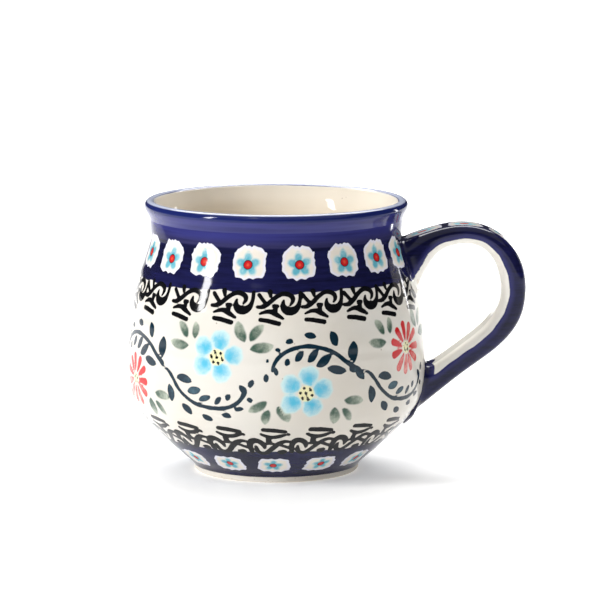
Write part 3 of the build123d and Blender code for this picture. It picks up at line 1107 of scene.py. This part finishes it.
class MUG_OT_handle_coat(PieceOperator, bpy.types.Operator):
    """Makes the handle's glaze, rounded into the wall at both roots"""

    bl_idname = "mug.handle_coat"
    bl_label = "Handle coat"

    rings = 220
    root_cobalt = 2.6  # how far the cobalt reaches from the wall round the lower root
    collar_top = 45.0  # height under which it does
    most_spread = 0.85  # of the fillet
    first_stamp, stamp_gap, bare_end = 12.0, 11.2, 16.0  # along the strap
    stamp_half = (4.6, 4.9)
    spokes = section_spokes(flat=10, arc=14)

    def build(self, sizes, colours):
        middle, outward, half_thick, half_wide, corner = strap_rings(self.rings)
        shape = bmesh.new()
        bmesh.ops.create_grid(shape, x_segments=len(self.spokes) - 1, y_segments=self.rings - 1, size=0.5)
        for vert in shape.verts:
            wide, thick, bearing = self.spokes[round((vert.co.x + 0.5) * (len(self.spokes) - 1))]
            ring = round((vert.co.y + 0.5) * (self.rings - 1))
            turn = math.radians(bearing)
            wide = wide * (half_wide[ring] - corner[ring]) + corner[ring] * math.cos(turn)
            thick = thick * (half_thick[ring] - corner[ring]) + corner[ring] * math.sin(turn)
            x, z = middle[ring] + outward[ring] * thick
            vert.co = Vector((x, wide, z)) * MM
        bmesh.ops.remove_doubles(shape, verts=shape.verts, dist=MERGE)
        bmesh.ops.recalc_face_normals(shape, faces=shape.faces)
        self.round_roots(shape, sizes.root_fillet / MM)
        bmesh.ops.solidify(shape, geom=shape.faces, thickness=sizes.coat)
        bmesh.ops.recalc_face_normals(shape, faces=shape.faces)
        material = handle_glaze(colours)
        piece = finished(shape, "handle_coat", ["handle_glaze"], material)
        self.paint(piece.data)

    def round_roots(self, shape, fillet):
        """Spreads the strap where it runs into the wall, as a finger smooths the joint."""
        shape.normal_update()
        moves = []
        for vert in shape.verts:
            x, y, z = vert.co / MM
            gap = math.hypot(x, y) - float(wall_radius(z))
            reach = min(max(1 - gap / fillet, 0.0), 1.0)
            spread = fillet * (1 - math.sqrt(max(1 - reach * reach, 0.0)))
            moves.append((vert, vert.normal * min(spread, fillet * self.most_spread) * MM))
        for vert, move in moves:
            vert.co += move

    def paint(self, mesh):
        """Cobalt outside, cream inside the loop, and stamps along the back of the strap."""
        points = points_of(mesh)
        middle, outward, half_thick, _, _ = strap_rings(self.rings * 4)
        along = lengths_along(middle)
        flat = points[:, [0, 2]]
        nearest = np.argmin(((flat[:, None, :] - middle[None, ::4]) ** 2).sum(axis=2), axis=1) * 4
        offset = flat - middle[nearest]
        out = (offset * outward[nearest]).sum(axis=1)
        heading = np.gradient(middle, axis=0)
        heading /= np.linalg.norm(heading, axis=1)[:, None]
        place = along[nearest] + (offset * heading[nearest]).sum(axis=1)
        paint = Painting(lambda spot: points[:, 1], lambda spot: place - spot, len(points))
        side = np.sign(points[:, 1])
        edge = -0.36 * half_thick[nearest] + 0.12 * np.sin(place * 0.31 + side) + 0.07 * np.sin(place * 0.9)
        to_wall = np.hypot(points[:, 0], points[:, 1]) - wall_radius(points[:, 2])
        root = self.root_cobalt + 0.5 * np.sin(points[:, 1] * 0.8 + 1) - to_wall
        root = np.where(points[:, 2] < self.collar_top, root, -FAR)
        paint.lay("cobalt", np.arange(len(points)), np.clip(np.maximum(out - edge, root), -FAR, FAR))
        for spot in np.arange(self.first_stamp, along[-1] - self.bare_end, self.stamp_gap):
            medallion(paint, spot, *self.stamp_half, paint.dice)
        facing = out > 0.35 * half_thick[nearest]
        for ink in ("white", "blue", "red"):
            paint.inks[ink] = np.where(facing, paint.inks[ink], -FAR)
        paint.lift("cobalt", "white")
        write_fields(mesh, {"ink_" + ink: paint.inks[ink] for ink in ("cobalt", "white", "blue", "red")})
        write_fields(mesh, {"wash": paint.wash})


class MUG_OT_base_coat(PieceOperator, bpy.types.Operator):
    """Makes the glaze in the recess under the foot"""

    bl_idname = "mug.base_coat"
    bl_label = "Base coat"

    def build(self, sizes, colours):
        low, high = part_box("base_glaze")
        radius, under, over = high.x / MM, low.z / MM, high.z / MM
        corner = (over - under) * 0.6
        outline = [(0, over), (radius, over), (radius, under + corner)]
        for step in range(1, 6):
            turn = math.radians(18 * step)
            outline.append((radius - corner * (1 - math.cos(turn)), under + corner * (1 - math.sin(turn))))
        outline += [(radius * share, under) for share in (0.9, 0.6, 0.3, 0.0)]
        shape = turned_mesh(outline, 128)
        finished(shape, "base_coat", ["base_glaze"], cream_glaze(colours))


class MUG_OT_bare_clay(PieceOperator, bpy.types.Operator):
    """Gives the clay pot, handle and slip their unglazed finish"""

    bl_idname = "mug.bare_clay"
    bl_label = "Bare clay"

    def build(self, sizes, colours):
        clay = bare_clay("bare_stoneware", colours.clay, colours.clay_toast)
        slip = bare_clay("luting_slip", colours.clay_toast, colours.clay)
        finishes = {"cup_body": clay, "handle": clay, "upper_slip_joint": slip, "lower_slip_joint": slip}
        for node, material in finishes.items():
            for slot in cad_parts[node].material_slots:
                slot.material = material


# ---------------------------------------------------------------- stage


class MUG_OT_stage(bpy.types.Operator):
    """Sets the pale floor, the soft light and the camera"""

    bl_idname = "mug.stage"
    bl_label = "Stage"
    bl_options = {"REGISTER", "UNDO"}

    # Degrees round from the front and up, distance, width and height, and share of the key's power
    lamps = {
        "key_window": ((-62, 24), 1.1, (0.12, 0.5), 1.08),
        "ceiling_lamp": ((-28, 58), 1.2, (0.12, 0.12), 0.12),
        "right_strip": ((128, 6), 1.2, (0.07, 0.4), 0.15),
        "top_panel": ((20, 78), 1.3, (2.4, 2.4), 1.9),
        "back_softbox": ((180, 52), 1.2, (1.3, 0.5), 2.2),
    }
    table_half = 8.0
    table_gap = 0.05 * MM  # keeps the table and the foot from sharing a plane
    glow_near, glow_far = 0.3, 0.9  # the table glows whiter between these distances

    def execute(self, context):
        stage = context.scene.mug_stage
        self.floor()
        self.camera(context.scene, stage)
        self.sky(context.scene, stage.sky)
        for name, (bearing, distance, size, share) in self.lamps.items():
            self.window(name, bearing, distance, size, stage.key * share)
        context.scene.view_settings.view_transform = "Standard"
        return {"FINISHED"}

    def floor(self):
        """A wide pale table, clear from below so that the foot can be looked at."""
        shape = bmesh.new()
        bmesh.ops.create_grid(shape, x_segments=2, y_segments=2, size=self.table_half)
        bmesh.ops.translate(shape, verts=shape.verts, vec=(0, 0, -self.table_gap))
        mesh = bpy.data.meshes.new("table")
        shape.to_mesh(mesh)
        shape.free()
        table = bpy.data.objects.new("table", mesh)
        bpy.context.scene.collection.objects.link(table)
        tree = Tree.material("table_white")
        place = tree.place()
        cloud = tree.noise(place, 3.0, 2.0)
        colour = tree.mix(cloud, linear((246, 246, 246)), linear((250, 250, 250)))
        away = tree.node("ShaderNodeVectorMath", {"operation": "LENGTH"}, {0: place}, "Value")
        far = tree.step(away, self.glow_near, self.glow_far)
        glow = tree.mix(far, linear((148, 148, 148)), linear((255, 255, 255)))
        tree.finish(Base_Color=colour, Roughness=0.6, Emission_Color=glow, Emission_Strength=1.0)
        under = tree.node("ShaderNodeNewGeometry", output="Backfacing")
        clear = tree.node("ShaderNodeBsdfTransparent")
        shown = Signal(tree, tree.shader.outputs[0])
        cover = tree.node("ShaderNodeMixShader", None, {0: under, 1: shown, 2: clear})
        tree.links.new(cover.socket, tree.nodes["Material Output"].inputs["Surface"])
        mesh.materials.append(tree.owner)

    def camera(self, scene, stage):
        """A long lens a little above the rim."""
        data = bpy.data.cameras.new("camera")
        data.lens = stage.lens
        data.sensor_width = 36.0
        data.clip_start, data.clip_end = 0.05, 60.0
        camera = bpy.data.objects.new("camera", data)
        aim = Vector(stage.aim)
        camera.location = Vector((aim.x, -stage.distance, stage.eye))
        camera.rotation_euler = (aim - camera.location).to_track_quat("-Z", "Y").to_euler()
        scene.collection.objects.link(camera)
        scene.camera = camera

    def sky(self, scene, strength):
        """Bright walls on the left and behind, and a dark room in front that keeps cobalt deep."""
        world = bpy.data.worlds.new("studio")
        world.use_nodes = True
        scene.world = world
        sky = Tree(world)
        heading = sky.node("ShaderNodeTexCoord", output="Generated")
        split = sky.node("ShaderNodeSeparateXYZ", None, {0: heading})
        left = sky.step(split, 0.2, -0.95) * 0.35
        behind = sky.step(split.output("Y"), 0.35, 0.95) * 0.8
        lit = (left + behind + 0.22) * strength
        seen = sky.node("ShaderNodeLightPath", output="Is Camera Ray")
        sky.feed(sky.nodes["Background"].inputs["Strength"], lit + seen * (1 - lit))

    def window(self, name, bearing, distance, size, power):
        """An area light at (degrees round from the front, degrees up), facing the mug."""
        data = bpy.data.lights.new(name, "AREA")
        data.shape = "RECTANGLE"
        data.size, data.size_y = size
        data.energy = power
        light = bpy.data.objects.new(name, data)
        turn, rise = (math.radians(angle) for angle in bearing)
        level_part = math.cos(rise)
        away = Vector((math.sin(turn) * level_part, -math.cos(turn) * level_part, math.sin(rise)))
        aim = Vector((0, 0, 50 * MM))
        light.location = aim + away * distance
        light.rotation_euler = away.to_track_quat("Z", "Y").to_euler()
        bpy.context.scene.collection.objects.link(light)


class MUG_PT_sidebar(bpy.types.Panel):
    """Lists the mug's operators"""

    bl_idname = "MUG_PT_sidebar"
    bl_label = "Painted mug"
    bl_space_type = "VIEW_3D"
    bl_region_type = "UI"
    bl_category = "Mug"

    def draw(self, context):
        column = self.layout.column()
        for operator in OPERATORS:
            column.operator(operator.bl_idname)


SETTINGS = {"mug_colours": MugColours, "mug_sizes": MugSizes, "mug_stage": MugStage}
OPERATORS = (
    MUG_OT_painted_coat,
    MUG_OT_inside_coat,
    MUG_OT_handle_coat,
    MUG_OT_base_coat,
    MUG_OT_bare_clay,
    MUG_OT_stage,
)


def register():
    for item in (*SETTINGS.values(), *OPERATORS, MUG_PT_sidebar):
        bpy.utils.register_class(item)
    for name, group in SETTINGS.items():
        setattr(bpy.types.Scene, name, bpy.props.PointerProperty(type=group))


def unregister():
    for name in SETTINGS:
        delattr(bpy.types.Scene, name)
    for item in (MUG_PT_sidebar, *OPERATORS[::-1], *SETTINGS.values()):
        bpy.utils.unregister_class(item)


def main():
    register()
    bpy.ops.mug.painted_coat()
    bpy.ops.mug.inside_coat()
    bpy.ops.mug.handle_coat()
    bpy.ops.mug.base_coat()
    bpy.ops.mug.bare_clay()
    bpy.ops.mug.stage()


if __name__ == "__main__":
    main()
